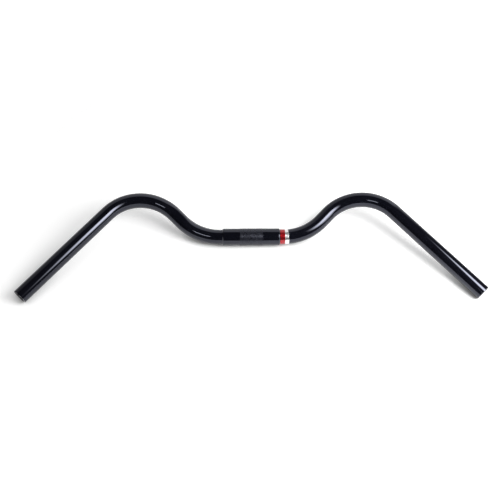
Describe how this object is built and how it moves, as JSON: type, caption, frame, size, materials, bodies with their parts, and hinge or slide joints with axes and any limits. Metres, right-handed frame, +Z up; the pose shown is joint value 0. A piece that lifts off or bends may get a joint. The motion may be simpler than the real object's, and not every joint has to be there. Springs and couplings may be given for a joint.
{
  "type": "swept-back handlebar",
  "caption": "Gloss black swept-back bicycle handlebar: one bent tube with a knurled clamp sleeve and a red and a silver trim band beside it.",
  "frame": {"origin": "on the tube's axis in the middle of the clamp, halfway between the two bends", "axes": "+X along the clamp to the rider's right, +Y forward, +Z up; the bar lies on its sleeve and both rims"},
  "size_m": [0.675, 0.1691, 0.0557],
  "materials": {
    "black_lacquer": "gloss",
    "sleeve_lacquer": "gloss, with a dull knurled patch in the middle",
    "red_foil": "metallic red",
    "silver_foil": "polished"
  },
  "bodies": {
    "root": {"handlebar_tube": "black_lacquer", "clamp_sleeve": "sleeve_lacquer", "red_band": "red_foil", "silver_band": "silver_foil"}
  },
  "joints": []
}
